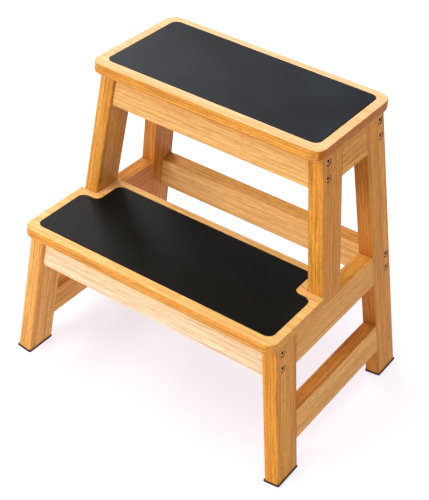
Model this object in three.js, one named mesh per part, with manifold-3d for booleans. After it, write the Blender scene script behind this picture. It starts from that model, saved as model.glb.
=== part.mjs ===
// Two-step wooden step stool: two splayed side frames, four cross rails and two boards with inlaid mats.
// Millimetres, +Z up. X is the width, the front with the lower step faces -Y, and z = 0 is the floor.
// The origin is the middle of the footprint, on the floor.

import * as THREE from "three";
import { mergeVertices } from "three/addons/utils/BufferGeometryUtils.js";
import Module from "manifold-3d";

const wasm = await Module();
wasm.setup();

// Side frames
const floorHalfWidth = 200;                         // outer face of a side frame at the floor
const splay = THREE.MathUtils.degToRad(7.6);        // inward lean of each side frame
const rake = THREE.MathUtils.degToRad(8.2);         // forward lean of the rear legs, within a side frame
const frameThickness = 19.2;
const legWidth = 42;
const edgeRadius = 2.5;                             // eased long edges of the timbers
const jointRadius = 0.6;                            // the same on the edges that meet a side rail
const gap = 0.3;                                    // clearance where a turned piece meets its neighbour

// Legs, by the y of one face at the floor
const frontLegFront = -138.5;
const upperLegFront = -41.2;
const rearLegBack = 151.4;

// Side rails, as heights above the floor on the outer face
const midRailBottom = 153.4;
const lowerRail = { bottom: 44.6, top: 88.2 };
const upperRailBottom = 343.6;

// Cross rails between the side frames
const apronThickness = 19;
const rearThickness = 21;
const crossRadius = 2;
const lowerApron = { bottom: 148.4, front: -133.3 };
const upperApron = { bottom: 338.7, front: -37 };
const rearRail = { bottom: 148.1, height: 44.8 };

// Boards
const boardThickness = 14;
const topBoard = { top: 400, halfWidth: 153, front: -58, back: 104, corner: 15 };
const lowerBoard = { top: 210.5, halfWidth: 176, front: -152, back: 1.8, corner: 14 };
const cornerSteps = 6;                              // facets round the corner of a board or mat
const topRound = 1.2;                               // eased upper edge of a board
const bottomRound = 3;                              // rounded lower edge of a board

// Mats, let into the boards
const matThickness = 2;
const matProud = 0.4;                               // how far a mat stands above its board
const matCorner = 9;
const matSlack = 0.6;                               // clearance round a mat in its recess
const matChamfer = 0.3;
const topMat = { halfWidth: 140.5, front: -42.5, back: 92.5 };
const lowerMat = { halfWidth: 164.6, front: -137.8, back: -9.6 };
const notchMargin = 11.5;                           // wood left between the lower mat and an upper leg

// Foot pads
const pad = { thickness: 2, overhang: 1.3, corner: 2.5, chamfer: 0.4, glue: 0.1 };

// Cap screws in pairs one above the other, each in a threaded insert in the end of a cross rail
const screw = { head: 8.5, headHeight: 5, socket: 4, socketDepth: 2.5, shank: 5, length: 30, chamfer: 0.5 };
const recess = { diameter: 10, depth: 6 };
const screwHole = 5.8;
const insert = { diameter: 9, length: 14, flange: 11, flangeHeight: 1.2 };
const insertSlack = 0.2;
const shankRoom = 2;                                // bore left beyond the end of a screw
const lowerScrewHeights = [164.3, 184.9];
const upperScrewHeights = [354.8, 375.3];
const frontScrewY = -124.4;
const upperScrewY = -28.8;
const rearScrewInset = 10.3;                        // from the rear leg's back face
const roundSides = 16;                              // facets round a screw, insert or hole

// Values that follow from the ones above
const lowerUnderside = lowerBoard.top - boardThickness;
const topUnderside = topBoard.top - boardThickness;
const splaySlope = Math.tan(splay);
const rakeSlope = Math.tan(rake);
const crossRake = Math.atan(rakeSlope / Math.cos(splay));
const frameSpan = (frameThickness + gap) / Math.cos(splay);
const padFloor = (frameThickness + pad.overhang - pad.chamfer) * splaySlope;
const legFoot = padFloor + pad.thickness + pad.glue;

const wood = new THREE.MeshStandardMaterial({ color: "#d99a5b", roughness: 0.55, metalness: 0 });
const paleWood = new THREE.MeshStandardMaterial({ color: "#f3d3a0", roughness: 0.5, metalness: 0 });
const matGrey = new THREE.MeshStandardMaterial({ color: "#3c3f44", roughness: 0.8, metalness: 0 });
const rubber = new THREE.MeshStandardMaterial({ color: "#1c1c1d", roughness: 0.85, metalness: 0 });
const brass = new THREE.MeshStandardMaterial({ color: "#c9a95c", roughness: 0.4, metalness: 1 });
const steel = new THREE.MeshStandardMaterial({ color: "#c9c6bf", roughness: 0.35, metalness: 1 });

// ---------- solids and surfaces ----------

function toSolid(geometry) {
  const bare = geometry.clone();
  bare.deleteAttribute("normal");
  bare.deleteAttribute("uv");
  const merged = mergeVertices(bare, 1e-4);
  const index = merged.index.array;
  const triangles = [];
  for (let start = 0; start < index.length; start += 3) {
    const [a, b, c] = index.slice(start, start + 3);
    if (a !== b && b !== c && c !== a) {
      triangles.push(a, b, c);
    }
  }
  return new wasm.Manifold(new wasm.Mesh({
    numProp: 3,
    vertProperties: new Float32Array(merged.attributes.position.array),
    triVerts: new Uint32Array(triangles),
  }));
}

function cutAway(geometry, cutters) {
  let solid = toSolid(geometry);
  for (const cutter of cutters) {
    solid = solid.subtract(toSolid(cutter));
  }
  const mesh = solid.getMesh();
  return surface(Array.from(mesh.vertProperties), Array.from(mesh.triVerts));
}

function surface(positions, triangles) {
  const geometry = new THREE.BufferGeometry();
  geometry.setAttribute("position", new THREE.Float32BufferAttribute(positions, 3));
  geometry.setIndex(triangles);
  geometry.computeVertexNormals();
  return geometry;
}

// The same piece for the other side of the stool: x reversed, and the faces turned to point out again.
function mirrored(geometry) {
  const copy = mergeVertices(geometry);
  const index = Array.from(copy.index.array);
  for (let start = 0; start < index.length; start += 3) {
    [index[start + 1], index[start + 2]] = [index[start + 2], index[start + 1]];
  }
  copy.scale(-1, 1, 1);
  copy.setIndex(index);
  return copy;
}

// ---------- outlines ----------

// Rounds every corner [x, y, radius] of an outline. Gives points with the outward direction at each.
function roundedOutline(corners, steps = 3) {
  const points = [];
  corners.forEach(([x, y, radius], place) => {
    const corner = new THREE.Vector2(x, y);
    const [beforeX, beforeY] = corners[(place + corners.length - 1) % corners.length];
    const [afterX, afterY] = corners[(place + 1) % corners.length];
    const back = new THREE.Vector2(beforeX - x, beforeY - y).normalize();
    const ahead = new THREE.Vector2(afterX - x, afterY - y).normalize();
    const half = Math.acos(THREE.MathUtils.clamp(back.dot(ahead), -1, 1)) / 2;
    const inward = back.clone().add(ahead).normalize();
    const convex = back.cross(ahead) < 0;
    const centre = corner.clone().addScaledVector(inward, radius / Math.sin(half));
    const middle = Math.atan2(-inward.y, -inward.x);
    const reach = Math.PI / 2 - half;
    const turn = convex ? 1 : -1;
    for (let step = 0; step <= steps; step += 1) {
      const angle = middle + turn * reach * (2 * step / steps - 1);
      const direction = new THREE.Vector2(Math.cos(angle), Math.sin(angle));
      const point = centre.clone().addScaledVector(direction, radius);
      points.push({ point, outward: direction.multiplyScalar(turn) });
    }
  });
  return points;
}

function rectangle(left, right, low, high, radius, steps) {
  const corners = [[left, low], [right, low], [right, high], [left, high]];
  return roundedOutline(corners.map(([x, y]) => [x, y, radius]), steps);
}

// ---------- shapes ----------

// A flat plate from stacked rings of one outline. A layer is [height, how far the ring is drawn in].
function plate(outline, layers) {
  const count = outline.length;
  const positions = [];
  const triangles = [];
  for (const [height, inset] of layers) {
    for (const { point, outward } of outline) {
      positions.push(point.x - outward.x * inset, point.y - outward.y * inset, height);
    }
  }
  for (let layer = 0; layer + 1 < layers.length; layer += 1) {
    for (let here = 0; here < count; here += 1) {
      const next = (here + 1) % count;
      const low = layer * count;
      const high = low + count;
      triangles.push(low + here, low + next, high + next);
      triangles.push(low + here, high + next, high + here);
    }
  }
  const faces = THREE.ShapeUtils.triangulateShape(outline.map(({ point }) => point), []);
  const lid = (layers.length - 1) * count;
  for (const [a, b, c] of faces) {
    triangles.push(c, b, a);
    triangles.push(lid + a, lid + b, lid + c);
  }
  return surface(positions, triangles);
}

// Rings for a quarter round of some radius at an edge, from the flat face out to the full outline.
function quarterRound(radius, faceHeight, towards, steps) {
  const rings = [];
  for (let step = 0; step <= steps; step += 1) {
    const angle = (Math.PI / 2) * (step / steps);
    rings.push([faceHeight + towards * radius * (1 - Math.cos(angle)), radius * (1 - Math.sin(angle))]);
  }
  return rings;
}

// A straight timber along an axis. Its outline is drawn in the next two axes, in the order x, y, z, x, y.
// startAt and endAt give each end's place along the axis for a point of the outline.
function timber(axis, outline, startAt, endAt) {
  const drawn = new THREE.Shape(outline.map(({ point }) => point));
  const geometry = new THREE.ExtrudeGeometry(drawn, { depth: 1, bevelEnabled: false });
  const positions = geometry.attributes.position;
  for (let vertex = 0; vertex < positions.count; vertex += 1) {
    const end = positions.getZ(vertex) > 0.5 ? endAt : startAt;
    positions.setZ(vertex, end(positions.getX(vertex), positions.getY(vertex)));
  }
  const x = new THREE.Vector3(1, 0, 0);
  const y = new THREE.Vector3(0, 1, 0);
  const z = new THREE.Vector3(0, 0, 1);
  const bases = { x: [y, z, x], y: [z, x, y], z: [x, y, z] };
  geometry.applyMatrix4(new THREE.Matrix4().makeBasis(...bases[axis]));
  geometry.computeVertexNormals();
  return geometry;
}

// A round bar on the x axis, from one x to another.
function barAlongX(diameter, from, to) {
  const geometry = new THREE.CylinderGeometry(diameter / 2, diameter / 2, Math.abs(to - from), roundSides);
  geometry.rotateZ(Math.PI / 2);
  geometry.translate((from + to) / 2, 0, 0);
  return geometry;
}

function addMesh(parent, name, geometry, material) {
  const mesh = new THREE.Mesh(geometry, material);
  mesh.name = name;
  parent.add(mesh);
  return mesh;
}

// ---------- side frames ----------
// A right side frame is drawn flat, then leaned. Its local x = 0 is the outer face, with the timber
// towards negative x. Local y runs from front to back, and local z climbs the slope. The feet are cut
// square to the frame, so each pad leans with it and meets the floor along its inner edge.

// Local z at which a point of the leaning frame is at some height above the floor.
function levelAt(height) {
  return (across) => (height - across * Math.sin(splay)) / Math.cos(splay);
}

// Local y of the rear leg's back face.
function rearLegBackAt(climb) {
  return rearLegBack - rakeSlope * climb;
}

// A leg's section. Its edges are nearly sharp on the side where it meets the side rails.
function legOutline(front, railsBehind) {
  const back = front + legWidth;
  const frontRadius = railsBehind ? edgeRadius : jointRadius;
  const backRadius = railsBehind ? jointRadius : edgeRadius;
  return roundedOutline([
    [-frameThickness, front, frontRadius],
    [0, front, frontRadius],
    [0, back, backRadius],
    [-frameThickness, back, backRadius],
  ]);
}

function frontLeg() {
  return timber("z", legOutline(frontLegFront, true), () => legFoot, levelAt(lowerUnderside - gap));
}

function upperFrontLeg() {
  return timber("z", legOutline(upperLegFront, true), levelAt(lowerUnderside), levelAt(topUnderside - gap));
}

// The rear leg is drawn upright and sheared forwards, which keeps its ends level from front to back.
function rearLeg() {
  const outline = legOutline(rearLegBack - legWidth, false);
  const leg = timber("z", outline, () => legFoot, levelAt(topUnderside - gap));
  leg.applyMatrix4(new THREE.Matrix4().makeShear(0, 0, 0, 0, 0, -rakeSlope));
  return leg;
}

// A side rail from some y back to the rear leg. A rail that carries a board has a level top.
function sideRail(from, bottom, top, levelTop) {
  const low = bottom / Math.cos(splay);
  const outerTop = top / Math.cos(splay);
  const innerTop = levelTop ? levelAt(top)(-frameThickness) : outerTop;
  const outline = roundedOutline([
    [low, -frameThickness, edgeRadius],
    [innerTop, -frameThickness, levelTop ? gap : edgeRadius],
    [outerTop, 0, levelTop ? gap : edgeRadius],
    [low, 0, edgeRadius],
  ]);
  const rearEnd = (climb) => rearLegBackAt(climb) - legWidth - gap;
  return timber("y", outline, () => from + gap, rearEnd);
}

// Where the screw pairs sit in a side frame: local y and z of each screw.
function screwPlaces() {
  const places = [];
  for (const [level, heights] of [["low", lowerScrewHeights], ["high", upperScrewHeights]]) {
    heights.forEach((height, order) => {
      const climb = height / Math.cos(splay);
      const spot = order === 0 ? "lower" : "upper";
      const frontY = level === "low" ? frontScrewY : upperScrewY;
      const frontMember = level === "low" ? "front_leg" : "upper_front_leg";
      places.push({ member: frontMember, name: `${frontMember}_${spot}`, y: frontY, z: climb });
      const rearY = rearLegBackAt(climb) - rearScrewInset;
      places.push({ member: "rear_leg", name: `rear_leg_${level}_${spot}`, y: rearY, z: climb });
    });
  }
  return places;
}

// Recess for the head and clearance for the shank, through the side frame.
function frameDrillings(member) {
  const cutters = [];
  for (const spot of screwPlaces().filter((screwPlace) => screwPlace.member === member)) {
    const sunk = barAlongX(recess.diameter, 1, -recess.depth);
    const through = barAlongX(screwHole, 0, -frameThickness - 1);
    for (const cutter of [sunk, through]) {
      cutters.push(cutter.translate(0, spot.y, spot.z));
    }
  }
  return cutters;
}

function capScrew() {
  const { head, headHeight, socket, socketDepth, shank, length, chamfer } = screw;
  const profile = [
    [0, -length],
    [shank / 2 - chamfer, -length],
    [shank / 2, -length + chamfer],
    [shank / 2, 0],
    [head / 2, 0],
    [head / 2, headHeight - chamfer],
    [head / 2 - chamfer, headHeight],
    [0, headHeight],
  ];
  const turned = new THREE.LatheGeometry(profile.map(([r, y]) => new THREE.Vector2(r, y)), roundSides);
  const socketRadius = socket / Math.sqrt(3);
  const hexagon = new THREE.CylinderGeometry(socketRadius, socketRadius, 2 * socketDepth, 6);
  hexagon.translate(0, headHeight, 0);
  const geometry = cutAway(turned, [hexagon]);
  geometry.rotateZ(-Math.PI / 2);
  geometry.translate(-recess.depth, 0, 0);
  return geometry;
}

// A threaded insert with a flange, on the x axis. Its flange is at the end of a cross rail.
function threadedInsert() {
  const radius = insert.diameter / 2;
  const profile = [
    [screwHole / 2, -insert.length],
    [radius, -insert.length],
    [radius, -insert.flangeHeight],
    [insert.flange / 2, -insert.flangeHeight],
    [insert.flange / 2, 0],
    [screwHole / 2, 0],
    [screwHole / 2, -insert.length],
  ];
  const geometry = new THREE.LatheGeometry(profile.map(([r, y]) => new THREE.Vector2(r, y)), roundSides);
  geometry.rotateZ(-Math.PI / 2);
  geometry.translate(-frameThickness - gap, 0, 0);
  return geometry;
}

// A rubber pad under one leg, leaning with the side frame.
function footPad(front) {
  const { thickness, overhang, corner, chamfer } = pad;
  const back = front + legWidth;
  const outline = rectangle(-frameThickness - overhang, overhang, front - overhang, back + overhang, corner);
  const low = padFloor;
  const high = padFloor + thickness;
  return plate(outline, [[low, chamfer], [low + chamfer, 0], [high - chamfer, 0], [high, chamfer]]);
}

const timbers = {
  front_leg: cutAway(frontLeg(), frameDrillings("front_leg")),
  upper_front_leg: cutAway(upperFrontLeg(), frameDrillings("upper_front_leg")),
  rear_leg: cutAway(rearLeg(), frameDrillings("rear_leg")),
  mid_side_rail: sideRail(frontLegFront + legWidth, midRailBottom, lowerUnderside - gap, true),
  lower_side_rail: sideRail(frontLegFront + legWidth, lowerRail.bottom, lowerRail.top, false),
  upper_side_rail: sideRail(upperLegFront + legWidth, upperRailBottom, topUnderside - gap, true),
};
const pads = {
  front: footPad(frontLegFront),
  rear: footPad(rearLegBackAt(legFoot) - legWidth),
};
const screwShape = capScrew();
const insertShape = threadedInsert();

function sideFrame(side, sign) {
  const group = new THREE.Group();
  const forSide = (geometry) => (sign > 0 ? geometry : mirrored(geometry));
  group.position.x = sign * floorHalfWidth;
  group.rotation.y = -sign * splay;
  for (const [name, geometry] of Object.entries(timbers)) {
    addMesh(group, `${name}_${side}`, forSide(geometry), wood);
  }
  for (const [end, geometry] of Object.entries(pads)) {
    addMesh(group, `foot_pad_${end}_${side}`, forSide(geometry), rubber);
  }
  for (const { name, y, z } of screwPlaces()) {
    addMesh(group, `screw_${name}_${side}`, forSide(screwShape), steel).position.set(0, y, z);
    addMesh(group, `insert_${name}_${side}`, forSide(insertShape), brass).position.set(0, y, z);
  }
  return group;
}

// ---------- cross rails ----------

// Bores for the inserts and screw ends of one cross rail on both sides, in the stool's own frame.
function crossDrillings(places) {
  const lean = new THREE.Matrix4().makeRotationY(-splay).setPosition(floorHalfWidth, 0, 0);
  const face = -frameThickness;
  const railEnd = face - gap;
  const insertSteps = [[insert.diameter, insert.length], [insert.flange, insert.flangeHeight]];
  const bores = [];
  for (const { y, z } of places) {
    const shankEnd = barAlongX(screwHole, face, -recess.depth - screw.length - shankRoom);
    const cutters = [shankEnd];
    for (const [diameter, depth] of insertSteps) {
      cutters.push(barAlongX(diameter + 2 * insertSlack, face, railEnd - depth - insertSlack));
    }
    for (const cutter of cutters) {
      cutter.translate(0, y, z);
      cutter.applyMatrix4(lean);
      bores.push(cutter, mirrored(cutter));
    }
  }
  return bores;
}

// Half the width between the side frames at some height.
function innerHalfWidth(height) {
  return floorHalfWidth - frameSpan - height * splaySlope;
}

function apron(front, bottom, top, places) {
  const back = front + apronThickness;
  const outline = roundedOutline([
    [front, bottom, crossRadius],
    [back, bottom, crossRadius],
    [back, top, gap],
    [front, top, gap],
  ]);
  const rail = timber("x", outline, (y, z) => -innerHalfWidth(z), (y, z) => innerHalfWidth(z));
  return cutAway(rail, crossDrillings(places));
}

// A cross rail that leans with the rear legs. Its local frame has y = 0 on the back face.
// Without a top height it is a square rail of the rear rail's height.
function leaningRail(bottom, top, places) {
  const climbAtInnerFace = levelAt(bottom)(-frameThickness);
  const backFace = rearLegBackAt(climbAtInnerFace);
  const heightOf = (y, z) => bottom + y * Math.sin(crossRake) + z * Math.cos(crossRake);
  const levelTopAt = (y) => (top - bottom - y * Math.sin(crossRake)) / Math.cos(crossRake);
  const topAt = top ? levelTopAt : () => rearRail.height;
  const topRadius = top ? gap : crossRadius;
  const outline = roundedOutline([
    [-rearThickness, 0, crossRadius],
    [0, 0, crossRadius],
    [0, topAt(0), topRadius],
    [-rearThickness, topAt(-rearThickness), topRadius],
  ]);
  const endAt = (y, z) => innerHalfWidth(heightOf(y, z));
  const rail = timber("x", outline, (y, z) => -endAt(y, z), endAt);
  rail.rotateX(crossRake);
  rail.translate(0, backFace, bottom);
  return cutAway(rail, crossDrillings(places));
}

function placesOf(prefix) {
  return screwPlaces().filter(({ name }) => name.startsWith(prefix));
}

// ---------- boards and mats ----------

function boardBody({ top, halfWidth, front, back, corner }) {
  const outline = rectangle(-halfWidth, halfWidth, front, back, corner, cornerSteps);
  const lowerEdge = quarterRound(bottomRound, top - boardThickness, 1, 3);
  const upperEdge = quarterRound(topRound, top, -1, 2).reverse();
  return plate(outline, [...lowerEdge, ...upperEdge]);
}

function topMatOutline() {
  const { halfWidth, front, back } = topMat;
  return rectangle(-halfWidth, halfWidth, front, back, matCorner, cornerSteps);
}

// The lower mat is narrowed at the back, where the upper legs come through the board.
const legInnerAtBoard = innerHalfWidth(lowerBoard.top);

function lowerMatOutline() {
  const { halfWidth, front, back } = lowerMat;
  const narrow = legInnerAtBoard - notchMargin;
  const shoulder = upperLegFront - notchMargin;
  const rightSide = [[halfWidth, front], [halfWidth, shoulder], [narrow, shoulder], [narrow, back]];
  const leftSide = rightSide.map(([x, y]) => [-x, y]).reverse();
  return roundedOutline([...rightSide, ...leftSide].map(([x, y]) => [x, y, matCorner]), cornerSteps);
}

function matRecess(outline, boardTop) {
  const floor = boardTop + matProud - matThickness;
  return plate(outline, [[floor, -matSlack], [boardTop + 1, -matSlack]]);
}

function mat(outline, boardTop) {
  const top = boardTop + matProud;
  return plate(outline, [[top - matThickness, 0], [top - matChamfer, 0], [top, matChamfer]]);
}

// The corner of the lower board that an upper leg takes, with the board's side beyond it.
function legNotch(sign) {
  const inner = legInnerAtBoard;
  const outer = lowerBoard.halfWidth + 1;
  const front = upperLegFront - gap;
  const back = lowerBoard.back + 1;
  const notch = new THREE.BoxGeometry(outer - inner, back - front, 4 * boardThickness);
  notch.translate(sign * (inner + outer) / 2, (front + back) / 2, lowerBoard.top);
  return notch;
}

// ---------- the whole stool ----------

const stool = new THREE.Group();
stool.add(sideFrame("right", 1), sideFrame("left", -1));

addMesh(stool, "lower_front_apron",
  apron(lowerApron.front, lowerApron.bottom, lowerUnderside, placesOf("front_leg")), wood);
addMesh(stool, "upper_front_apron",
  apron(upperApron.front, upperApron.bottom, topUnderside, placesOf("upper_front_leg")), wood);
addMesh(stool, "rear_rail",
  leaningRail(rearRail.bottom, null, placesOf("rear_leg_low")), wood);
addMesh(stool, "upper_rear_apron",
  leaningRail(upperApron.bottom, topUnderside, placesOf("rear_leg_high")), wood);

addMesh(stool, "top_board", cutAway(boardBody(topBoard), [
  matRecess(topMatOutline(), topBoard.top),
]), paleWood);
addMesh(stool, "lower_board", cutAway(boardBody(lowerBoard), [
  matRecess(lowerMatOutline(), lowerBoard.top),
  legNotch(1),
  legNotch(-1),
]), paleWood);
addMesh(stool, "top_mat", mat(topMatOutline(), topBoard.top), matGrey);
addMesh(stool, "lower_mat", mat(lowerMatOutline(), lowerBoard.top), matGrey);

export default stool;
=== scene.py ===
"""The looks of a two-step wooden stool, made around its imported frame.

Metres, +Z up, and the front with the lower step faces -Y. The shape of every timber, board, mat and pad
is taken from its CAD node, cleaned and given eased edges here. The screws are turned again in fine
detail, and the threaded inserts show as their CAD solids.
"""

import math

import bmesh
import bpy
from mathutils import Matrix, Vector


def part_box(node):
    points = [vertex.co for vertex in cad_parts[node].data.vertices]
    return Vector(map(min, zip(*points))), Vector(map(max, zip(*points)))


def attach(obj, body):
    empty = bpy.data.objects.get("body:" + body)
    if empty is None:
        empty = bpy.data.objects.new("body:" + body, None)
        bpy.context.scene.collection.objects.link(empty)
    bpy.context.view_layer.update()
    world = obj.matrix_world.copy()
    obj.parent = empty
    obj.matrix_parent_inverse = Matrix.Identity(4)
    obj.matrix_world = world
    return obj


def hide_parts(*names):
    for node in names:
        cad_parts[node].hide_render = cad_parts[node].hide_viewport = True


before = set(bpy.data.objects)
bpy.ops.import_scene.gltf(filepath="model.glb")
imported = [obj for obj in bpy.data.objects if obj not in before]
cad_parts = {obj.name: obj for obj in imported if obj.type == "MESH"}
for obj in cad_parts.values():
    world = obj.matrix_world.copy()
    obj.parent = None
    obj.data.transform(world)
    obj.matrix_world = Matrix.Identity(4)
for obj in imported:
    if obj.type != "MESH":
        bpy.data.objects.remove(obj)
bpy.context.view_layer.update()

MM = 0.001

# How the timbers lean, as in the frame: each side frame inwards, and the rear legs forwards within it.
SPLAY = math.radians(7.6)
RAKE = math.radians(8.2)

# The camera, and the studio round the stool
CAMERA_PLACE = Vector((0.6338, -1.0338, 1.0590))
CAMERA_AZIMUTH = math.radians(31.511)
CAMERA_ELEVATION = math.radians(36.193)
CAMERA_ROLL = math.radians(5.058)
CAMERA_LENS = 88.21
STOOL_MIDDLE = (0.0, 0.0, 0.2)
WORLD_GLOW = 0.3
WHITE = (1.0, 1.0, 1.0, 1.0)
FLOOR_SIZE = 14.0

# The floor glows less within the near radius of the stool's middle, and fully beyond the far one: the
# dimmer glow round the stool is a painted shadow.
FLOOR_GLOW_NEAR = 0.7
FLOOR_GLOW_FAR = 0.82
FLOOR_NEAR_RADIUS = 0.12
FLOOR_FAR_RADIUS = 0.34

SIDES = ("left", "right")
SIDE_RAIL_NODES = ("mid_side_rail", "lower_side_rail", "upper_side_rail")


# ---------- shader building ----------

# Sockets of the mix node's colour type, which share their names with those of its other types
MIX_FACTOR = 0
MIX_FIRST = 6
MIX_SECOND = 7
MIX_RESULT = 2


def linear(hexcode):
    """A colour written as #rrggbb, as linear red, green, blue and alpha."""
    channels = [int(hexcode[at:at + 2], 16) / 255 for at in (1, 3, 5)]
    straight = [c / 12.92 if c <= 0.04045 else ((c + 0.055) / 1.055) ** 2.4 for c in channels]
    return (*straight, 1.0)


class Shader:
    """A material's node tree, with short calls for adding linked nodes."""

    def __init__(self, name):
        self.material = bpy.data.materials.new(name)
        self.material.use_nodes = True
        self.tree = self.material.node_tree
        self.surface = self.tree.nodes["Principled BSDF"]

    def add(self, kind, inputs=None, **settings):
        node = self.tree.nodes.new(kind)
        for key, value in settings.items():
            setattr(node, key, value)
        for key, value in (inputs or {}).items():
            self.feed(node.inputs[key], value)
        return node

    def feed(self, socket, value):
        if isinstance(value, bpy.types.NodeSocket):
            self.tree.links.new(value, socket)
        else:
            socket.default_value = value

    def finish(self, **inputs):
        for key, value in inputs.items():
            self.feed(self.surface.inputs[key.replace("_", " ")], value)
        return self.material

    def scaled(self, vector, scale):
        inputs = {"Vector": vector, "Scale": scale}
        return self.add("ShaderNodeMapping", inputs, vector_type="POINT").outputs[0]

    def noise(self, vector, scale, detail=2.0, roughness=0.5):
        inputs = {"Vector": vector, "Scale": scale, "Detail": detail, "Roughness": roughness}
        return self.add("ShaderNodeTexNoise", inputs).outputs["Fac"]

    def spread(self, value, low, high):
        """A value from 0 to 1, taken to the range from low to high."""
        return self.add("ShaderNodeMapRange", {"Value": value, "To Min": low, "To Max": high}).outputs[0]

    def ramp(self, factor, stops):
        """stops is a list of (place, grey level)."""
        node = self.add("ShaderNodeValToRGB", {"Fac": factor})
        elements = node.color_ramp.elements
        while len(elements) < len(stops):
            elements.new(0.5)
        for element, (place, level) in zip(elements, stops):
            element.position = place
            element.color = (level, level, level, 1.0)
        return node.outputs["Color"]

    def mix(self, factor, first, second):
        node = self.add("ShaderNodeMix", data_type="RGBA")
        self.feed(node.inputs[MIX_FACTOR], factor)
        self.feed(node.inputs[MIX_FIRST], first)
        self.feed(node.inputs[MIX_SECOND], second)
        return node.outputs[MIX_RESULT]

    def glazed(self, under, mask, strength, hexcode):
        """A colour laid over another where a mask is high."""
        factor = self.add("ShaderNodeMath", {0: mask, 1: strength}, operation="MULTIPLY").outputs[0]
        return self.mix(factor, under, linear(hexcode))

    def bump(self, height, strength, distance, under=None):
        inputs = {"Height": height, "Strength": strength, "Distance": distance}
        if under is not None:
            inputs["Normal"] = under
        return self.add("ShaderNodeBump", inputs).outputs["Normal"]


# ---------- materials ----------

def wood_material(name, light, middle, dark, line):
    """Lacquered wood in four tones, from the palest ground to the darkest lines.

    The mesh attribute "grain" holds each point's place in its timber. x runs along the grain, and the
    growth rings are round the x axis.
    """
    shader = Shader(name)
    grain = shader.add("ShaderNodeAttribute", attribute_name="grain").outputs["Vector"]
    long_grain = shader.scaled(grain, (0.035, 1.0, 1.0))
    fibre = shader.scaled(grain, (0.03, 1.0, 1.0))
    short_fibre = shader.scaled(grain, (0.12, 1.0, 1.0))

    rings = shader.add("ShaderNodeTexWave", {
        "Vector": long_grain,
        "Scale": 78.0,
        "Distortion": 6.0,
        "Detail": 3.0,
        "Detail Scale": 0.35,
        "Detail Roughness": 0.6,
    }, wave_type="RINGS", rings_direction="X", wave_profile="SAW").outputs["Fac"]
    ring_tone = shader.ramp(rings, [(0.0, 0.0), (0.6, 0.3), (0.88, 1.0), (1.0, 0.1)])
    broad = shader.noise(long_grain, 55.0, 2.0)
    veins = shader.noise(fibre, 480.0, 4.0, 0.65)
    streaks = shader.noise(short_fibre, 880.0, 4.0, 0.72)
    pores = shader.noise(short_fibre, 2600.0, 2.0, 0.6)
    pore_mask = shader.ramp(pores, [(0.62, 0.0), (0.72, 1.0)])

    broad_tone = shader.ramp(broad, [(0.3, 0.0), (0.7, 1.0)])
    body = shader.mix(broad_tone, linear(light), linear(middle))
    ringed = shader.glazed(body, ring_tone, 0.6, dark)
    vein_tone = shader.ramp(veins, [(0.38, 1.0), (0.48, 0.25), (0.55, 0.0)])
    veined = shader.glazed(ringed, vein_tone, 0.55, line)
    streak_tone = shader.ramp(streaks, [(0.36, 1.0), (0.54, 0.0)])
    streaked = shader.glazed(veined, streak_tone, 0.48, line)
    colour = shader.glazed(streaked, pore_mask, 0.4, line)

    relief = shader.bump(streaks, 0.25, 0.0002)
    pitted = shader.bump(pore_mask, 0.2, -0.0001, relief)
    return shader.finish(
        Base_Color=colour,
        Roughness=shader.spread(streaks, 0.36, 0.52),
        Normal=pitted,
        Specular_IOR_Level=0.09,
    )


def mat_material(name, colour, fleck, shine):
    """Grained non-slip sheet rubber."""
    shader = Shader(name)
    place = shader.add("ShaderNodeTexCoord").outputs["Object"]
    cells = shader.add("ShaderNodeTexVoronoi", {"Vector": place, "Scale": 1500.0}).outputs["Distance"]
    cloud = shader.noise(place, 18.0, 3.0)
    grit = shader.noise(place, 900.0, 3.0, 0.7)
    tone = shader.mix(shader.ramp(cloud, [(0.3, 0.0), (0.7, 1.0)]), linear(colour), linear(fleck))
    flecked = shader.mix(shader.ramp(grit, [(0.5, 0.0), (0.7, 1.0)]), tone, linear(fleck))
    grain = shader.bump(cells, 0.35, 0.00025)
    return shader.finish(
        Base_Color=flecked,
        Roughness=shader.spread(grit, 0.42, 0.62),
        Normal=shader.bump(grit, 0.2, 0.0001, grain),
        Specular_IOR_Level=shine,
    )


def pad_material():
    """Moulded black rubber."""
    shader = Shader("pad_rubber")
    place = shader.add("ShaderNodeTexCoord").outputs["Object"]
    cloud = shader.noise(place, 90.0, 3.0)
    grit = shader.noise(place, 2400.0, 2.0)
    tone = shader.mix(cloud, linear("#0c0b0a"), linear("#181614"))
    return shader.finish(
        Base_Color=tone,
        Roughness=shader.spread(grit, 0.6, 0.8),
        Normal=shader.bump(grit, 0.3, 0.0001),
    )


def metal_material(name, bright, dull):
    """Metal with fine marks all over."""
    shader = Shader(name)
    place = shader.add("ShaderNodeTexCoord").outputs["Object"]
    marks = shader.noise(place, 1500.0, 3.0, 0.6)
    cloud = shader.noise(place, 260.0, 2.0)
    tone = shader.mix(cloud, linear(bright), linear(dull))
    marked = shader.mix(shader.ramp(marks, [(0.35, 0.25), (0.65, 0.0)]), tone, linear(dull))
    return shader.finish(
        Base_Color=marked,
        Metallic=1.0,
        Roughness=shader.spread(marks, 0.24, 0.42),
        Normal=shader.bump(marks, 0.15, 0.00005),
    )


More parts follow.
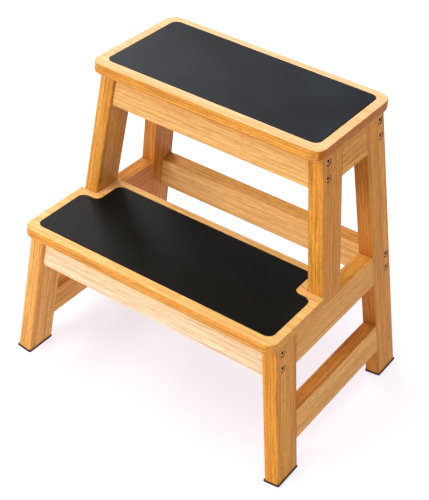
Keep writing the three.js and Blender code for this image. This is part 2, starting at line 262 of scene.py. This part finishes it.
def floor_material():
    """A pale studio floor that glows by itself, less round the stool's middle as a painted shadow."""
    shader = Shader("studio_floor")
    place = shader.add("ShaderNodeTexCoord").outputs["Object"]
    cloud = shader.noise(place, 1.3, 2.0)
    tone = shader.mix(cloud, linear("#95918f"), linear("#9a9694"))
    distance = shader.add("ShaderNodeVectorMath", {0: place}, operation="LENGTH").outputs["Value"]
    # The glow dims towards the stool's middle, a painted shadow on the floor
    glow = shader.add("ShaderNodeMapRange", {
        "Value": distance,
        "From Min": FLOOR_NEAR_RADIUS,
        "From Max": FLOOR_FAR_RADIUS,
        "To Min": FLOOR_GLOW_NEAR,
        "To Max": FLOOR_GLOW_FAR,
    }, interpolation_type="SMOOTHSTEP").outputs[0]
    return shader.finish(
        Base_Color=tone,
        Roughness=0.8,
        Specular_IOR_Level=0.1,
        Emission_Color=linear("#f9f6ff"),
        Emission_Strength=glow,
    )


# ---------- meshes ----------

WELD = 0.01 * MM
FLAT = math.radians(0.6)
SHARP = math.radians(40)
EDGE_SEGMENTS = 2
LOOKS_THAT_WAY = math.cos(math.radians(46))


def node_shape(node):
    """A CAD node's shape as a bmesh of its own, with its triangles joined again into whole flat faces."""
    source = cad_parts[node].data
    bare = bpy.data.meshes.new(f"{node}_bare")
    bare.from_pydata([v.co for v in source.vertices], [], [tuple(p.vertices) for p in source.polygons])
    shape = bmesh.new()
    shape.from_mesh(bare)
    bpy.data.meshes.remove(bare)
    bmesh.ops.remove_doubles(shape, verts=shape.verts, dist=WELD)
    bmesh.ops.dissolve_limit(shape, angle_limit=FLAT, verts=shape.verts, edges=shape.edges)
    return shape


def ease_edges(shape, width):
    """Rounds every edge that is still sharp."""
    sharp = [edge for edge in shape.edges if edge.is_manifold and edge.calc_face_angle() > SHARP]
    bmesh.ops.bevel(
        shape,
        geom=sharp,
        offset=width,
        segments=EDGE_SEGMENTS,
        profile=0.5,
        affect="EDGES",
        clamp_overlap=True,
    )


def make_piece(name, shape, material):
    """Turns a bmesh into a piece that rides with the stool's one body."""
    bmesh.ops.recalc_face_normals(shape, faces=shape.faces)
    mesh = bpy.data.meshes.new(name)
    shape.to_mesh(mesh)
    shape.free()
    mesh.materials.append(material)
    mesh.shade_smooth()
    piece = bpy.data.objects.new(name, mesh)
    bpy.context.scene.collection.objects.link(piece)
    weighted = piece.modifiers.new("even_faces", "WEIGHTED_NORMAL")
    weighted.keep_sharp = True
    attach(piece, "root")
    return piece


def refined(node, suffix, width, material):
    """A piece with a CAD node's shape and eased edges, which stands for that node."""
    shape = node_shape(node)
    ease_edges(shape, width)
    piece = make_piece(f"{node}_{suffix}", shape, material)
    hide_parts(node)
    return piece


# ---------- grain ----------

def lean(sign):
    """The turn of a side frame. sign is 1 on the right and -1 on the left."""
    return Matrix.Rotation(-sign * SPLAY, 3, "Y")


def rows(along, across):
    """The turn that takes a direction to x and another to y."""
    x = Vector(along).normalized()
    z = x.cross(Vector(across)).normalized()
    return Matrix((x, z.cross(x), z))


def set_grain(piece, turn, number):
    """Stores where each point lies in its timber's tree, so that no two timbers match."""
    along = 0.61 * number
    across = 0.045 + 0.03 * math.sin(2.1 * number)
    through = 0.07 + 0.03 * math.cos(1.7 * number)
    shift = Vector((along, across, through))
    low, high = (Vector(corner) for corner in (piece.bound_box[0], piece.bound_box[6]))
    middle = (low + high) / 2
    attribute = piece.data.attributes.new("grain", "FLOAT_VECTOR", "POINT")
    for vertex in piece.data.vertices:
        attribute.data[vertex.index].vector = turn @ (vertex.co - middle) + shift


def paint_light_and_shade_on_faces(piece, wood, ways):
    """Gives the faces of a timber that look any of some ways a wood of their own, which paints light and
    shade on them by the way they look.
    """
    piece.data.materials.append(wood)
    index = len(piece.data.materials) - 1
    for face in piece.data.polygons:
        if any(face.normal.dot(way) > LOOKS_THAT_WAY for way in ways):
            face.material_index = index


def grain_turns():
    """Each timber's node with the turn from the stool's frame to its grain."""
    turns = {}
    for side, sign in zip(SIDES, (-1, 1)):
        leaning = lean(sign)
        upright = leaning @ Vector((0, 0, 1))
        raked = leaning @ Matrix.Rotation(RAKE, 3, "X") @ Vector((0, 0, 1))
        back = Vector((0, 1, 0))
        turns[f"front_leg_{side}"] = rows(upright, back)
        turns[f"upper_front_leg_{side}"] = rows(upright, back)
        turns[f"rear_leg_{side}"] = rows(raked, back)
        for node in SIDE_RAIL_NODES:
            turns[f"{node}_{side}"] = rows(back, upright)
    for node in ("lower_front_apron", "upper_front_apron", "rear_rail", "upper_rear_apron"):
        turns[node] = rows((1, 0, 0), (0, 0, 1))
    for node in ("top_board", "lower_board"):
        turns[node] = rows((1, 0, 0), (0, 1, 0))
    return turns


# ---------- the stool ----------

EASED = 0.5 * MM
PAD_EASED = 0.25 * MM
MAT_EASED = 0.25 * MM

golden = wood_material("golden_wood", "#efb055", "#da9339", "#bf7e31", "#95591c")
amber = wood_material("amber_wood", "#eba949", "#d98d2f", "#bf7929", "#945518")
oat = wood_material("oat_wood", "#f5bd6e", "#e4a24f", "#ca8941", "#a5692d")
russet = wood_material("russet_wood", "#d89243", "#c57a2d", "#ad6827", "#874a16")
umber = wood_material("umber_wood", "#c97c22", "#b76916", "#a15910", "#7e4007")
honey = wood_material("honey_wood", "#f3c781", "#e5ad61", "#d19452", "#b9783b")
pale = wood_material("pale_wood", "#f8e4c3", "#eed1a5", "#dcb07c", "#c08b5d")
cream = wood_material("cream_wood", "#f7d0a2", "#ecbb86", "#d7a269", "#c08c55")
straw = wood_material("straw_wood", "#f4c988", "#e4b369", "#cf9850", "#b67d3b")
# Each timber's wood, which is golden where none is given. The tones are partly the timbers' own and
# partly painted light and shade: the paler oat of the left front leg stands in for the light from the
# left, the darker amber of the rear legs for the shade under the boards, and the cream and straw of the
# boards' tops are a painted sheen.
WOOD_OF = {
    "lower_front_apron": pale,
    "upper_front_apron": honey,
    "rear_rail": straw,
    # Painted light: the left front leg is paler
    "front_leg_left": oat,
    "front_leg_right": amber,
    "upper_front_leg_right": amber,
    # Painted shade: the rear legs are darker under the boards
    "rear_leg_left": amber,
    "rear_leg_right": amber,
    "mid_side_rail_left": oat,
    "mid_side_rail_right": oat,
    "lower_side_rail_left": oat,
    "lower_side_rail_right": oat,
    # Painted sheen: the boards' tops are paler than their edges
    "top_board": cream,
    "lower_board": straw,
}

# Faces with a tone unlike the rest of their timber, by the ways they look, as painted light and shade:
# the darker tops of the rear rail and side rails, the darker faces of the rear legs and the darker ends
# of the top board are painted shade, and the boards' tops, paler than their golden edges, carry a painted
# sheen.
UPWARDS = (Vector((0, 0, 1)),)
TO_FRONT_AND_BACK = (Vector((0, -1, 0)), Vector((0, 1, 0)))
TO_THE_SIDES = (Vector((-1, 0, 0)), Vector((1, 0, 0)))
TO_THE_RIGHT = (Vector((1, 0, 0)),)
LIT_AND_SHADED_FACES = {
    "top_board": ((golden, TO_FRONT_AND_BACK), (umber, TO_THE_SIDES)),
    "lower_board": ((golden, TO_FRONT_AND_BACK + TO_THE_SIDES),),
    "rear_leg_left": ((russet, TO_FRONT_AND_BACK + TO_THE_RIGHT),),
    "rear_leg_right": ((russet, TO_FRONT_AND_BACK),),
    "rear_rail": ((oat, UPWARDS),),
    "mid_side_rail_left": ((russet, UPWARDS + TO_THE_RIGHT),),
    "mid_side_rail_right": ((golden, UPWARDS),),
    "lower_side_rail_left": ((russet, UPWARDS),),
    "lower_side_rail_right": ((russet, UPWARDS),),
}

for number, (node, turn) in enumerate(grain_turns().items()):
    piece = refined(node, "timber", EASED, WOOD_OF.get(node, golden))
    set_grain(piece, turn, number)
    # Light and shade painted onto the faces that look some ways
    for shading_wood, ways in LIT_AND_SHADED_FACES.get(node, ()):
        paint_light_and_shade_on_faces(piece, shading_wood, ways)

slate = mat_material("top_mat_grain", "#101317", "#1d2127", 0.22)
black = mat_material("lower_mat_grain", "#030504", "#0d100f", 0.13)
refined("top_mat", "sheet", MAT_EASED, slate)
refined("lower_mat", "sheet", MAT_EASED, black)

pad_rubber = pad_material()
for side in SIDES:
    for end in ("front", "rear"):
        refined(f"foot_pad_{end}_{side}", "moulding", PAD_EASED, pad_rubber)


# ---------- screws ----------

SCREW_SIDES = 48
SCREW_LENGTH = 35 * MM
HEAD_RADIUS = 4.25 * MM
HEAD_HEIGHT = 5 * MM
SHANK_RADIUS = 2.5 * MM
HEAD_EASE = 0.4 * MM
FILLET = 0.2 * MM
TIP_CHAMFER = 0.7 * MM
SOCKET_APOTHEM = 2 * MM
SOCKET_DEPTH = 2.6 * MM
LEAD_IN_WIDTH = 0.45 * MM
LEAD_IN_DEPTH = 0.2 * MM
DRILL_RADIUS = 1.5 * MM
DRILL_POINT = 0.8 * MM
DRILL_TIP_RADIUS = 0.2 * MM

# The middles of the socket's faces are less than this many apothems from the screw's axis.
SOCKET_REACH = 1.15


def circle(radius):
    """Radius of a circle's outline, the same at every angle."""
    return lambda angle: radius


def hexagon(apothem):
    """Radius of a hexagon's outline at an angle."""
    return lambda angle: apothem / math.cos((angle + math.pi / 6) % (math.pi / 3) - math.pi / 6)


def stacked(rings):
    """A closed body from rings one above the other. A ring is (height, its radius at an angle)."""
    shape = bmesh.new()
    angles = [2 * math.pi * step / SCREW_SIDES for step in range(SCREW_SIDES)]
    loops = []
    for height, radius in rings:
        loops.append([
            shape.verts.new((radius(a) * math.cos(a), radius(a) * math.sin(a), height)) for a in angles
        ])
    for lower, upper in zip(loops, loops[1:]):
        for here in range(SCREW_SIDES):
            after = (here + 1) % SCREW_SIDES
            shape.faces.new((lower[here], lower[after], upper[after], upper[here]))
    shape.faces.new(reversed(loops[0]))
    shape.faces.new(loops[-1])
    return shape


def screw_shape():
    """A socket-head screw, with its axis on z and the outer end of its head at z = 0.

    The faces inside its socket take the screw's second material, a dark one, as painted shade in the
    socket.
    """
    under_head = -HEAD_HEIGHT
    tip = -SCREW_LENGTH
    rings = [
        (tip, circle(SHANK_RADIUS - TIP_CHAMFER)),
        (tip + TIP_CHAMFER, circle(SHANK_RADIUS)),
        (under_head - FILLET, circle(SHANK_RADIUS)),
        (under_head, circle(SHANK_RADIUS + FILLET)),
        (under_head, circle(HEAD_RADIUS - FILLET)),
        (under_head + FILLET, circle(HEAD_RADIUS)),
        (-HEAD_EASE, circle(HEAD_RADIUS)),
        (-0.3 * HEAD_EASE, circle(HEAD_RADIUS - 0.3 * HEAD_EASE)),
        (0.0, circle(HEAD_RADIUS - HEAD_EASE)),
        (0.0, circle(SOCKET_APOTHEM + LEAD_IN_WIDTH)),
        (-LEAD_IN_DEPTH, hexagon(SOCKET_APOTHEM)),
        (-SOCKET_DEPTH, hexagon(SOCKET_APOTHEM)),
        (-SOCKET_DEPTH, circle(DRILL_RADIUS)),
        (-SOCKET_DEPTH - DRILL_POINT, circle(DRILL_TIP_RADIUS)),
    ]
    shape = stacked(rings)
    for face in shape.faces:
        middle = face.calc_center_median()
        near_axis = middle.xy.length < SOCKET_APOTHEM * SOCKET_REACH
        if near_axis and under_head < middle.z < -LEAD_IN_DEPTH:
            face.material_index = 1
    return shape


def make_screw(node, head_metal, socket_shade_metal):
    """A finely turned screw in the place of a CAD one."""
    sign = 1 if node.endswith("right") else -1
    outward = lean(sign) @ Vector((sign, 0, 0))
    low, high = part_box(node)
    head_end = (low + high) / 2 + outward * SCREW_LENGTH / 2
    turn = outward.to_track_quat("Z", "Y").to_matrix().to_4x4()
    shape = screw_shape()
    bmesh.ops.transform(shape, matrix=Matrix.Translation(head_end) @ turn, verts=shape.verts)
    piece = make_piece(f"{node}_turned", shape, head_metal)
    piece.data.materials.append(socket_shade_metal)
    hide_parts(node)


steel = metal_material("bronzed_steel", "#d6aa7c", "#936c45")
# Dark metal inside the sockets, as painted shade there
socket_shade_steel = metal_material("socket_shade_steel", "#3a2a1e", "#1c1410")
brass = metal_material("turned_brass", "#d9b872", "#a8854a")

for node in sorted(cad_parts):
    if node.startswith("screw_"):
        make_screw(node, steel, socket_shade_steel)
    if node.startswith("insert_"):
        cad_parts[node].data.materials[0] = brass


# ---------- studio ----------

def make_floor():
    """A square of floor, which is scenery and not part of the stool."""
    half = FLOOR_SIZE / 2
    mesh = bpy.data.meshes.new("floor")
    corners = [(-half, -half, 0), (half, -half, 0), (half, half, 0), (-half, half, 0)]
    mesh.from_pydata(corners, [], [(0, 1, 2, 3)])
    mesh.materials.append(floor_material())
    floor = bpy.data.objects.new("floor", mesh)
    bpy.context.scene.collection.objects.link(floor)


def soft_box(name, place, size, power):
    """A square area light at a place, turned to face the stool's middle."""
    lamp = bpy.data.lights.new(name, "AREA")
    lamp.shape = "SQUARE"
    lamp.size = size
    lamp.energy = power
    light = bpy.data.objects.new(name, lamp)
    light.location = place
    light.rotation_mode = "QUATERNION"
    light.rotation_quaternion = (Vector(place) - Vector(STOOL_MIDDLE)).to_track_quat("Z", "Y")
    bpy.context.scene.collection.objects.link(light)


def make_camera():
    """The camera, which looks along the opposite of back and is turned a little about that line."""
    back = Vector((
        math.sin(CAMERA_AZIMUTH) * math.cos(CAMERA_ELEVATION),
        -math.cos(CAMERA_AZIMUTH) * math.cos(CAMERA_ELEVATION),
        math.sin(CAMERA_ELEVATION),
    ))
    lens = bpy.data.cameras.new("camera")
    lens.lens = CAMERA_LENS
    camera = bpy.data.objects.new("camera", lens)
    level = back.to_track_quat("Z", "Y").to_matrix().to_4x4()
    camera.matrix_world = Matrix.Translation(CAMERA_PLACE) @ level @ Matrix.Rotation(CAMERA_ROLL, 4, "Z")
    bpy.context.scene.collection.objects.link(camera)
    bpy.context.scene.camera = camera


def make_world(strength):
    """An even white glow from all round."""
    world = bpy.data.worlds.new("studio")
    world.use_nodes = True
    background = world.node_tree.nodes["Background"]
    background.inputs["Color"].default_value = WHITE
    background.inputs["Strength"].default_value = strength
    bpy.context.scene.world = world


make_camera()
make_floor()
make_world(WORLD_GLOW)
soft_box("overhead", place=(-0.1, -0.6, 2.3), size=1.6, power=38.0)
soft_box("front_key", place=(-0.9, -2.1, 1.5), size=1.0, power=42.0)
soft_box("back_window", place=(-2.1, 1.3, 1.7), size=1.0, power=34.0)
soft_box("right_fill", place=(2.0, -0.7, 1.5), size=1.4, power=8.0)
bpy.context.scene.view_settings.view_transform = "Standard"
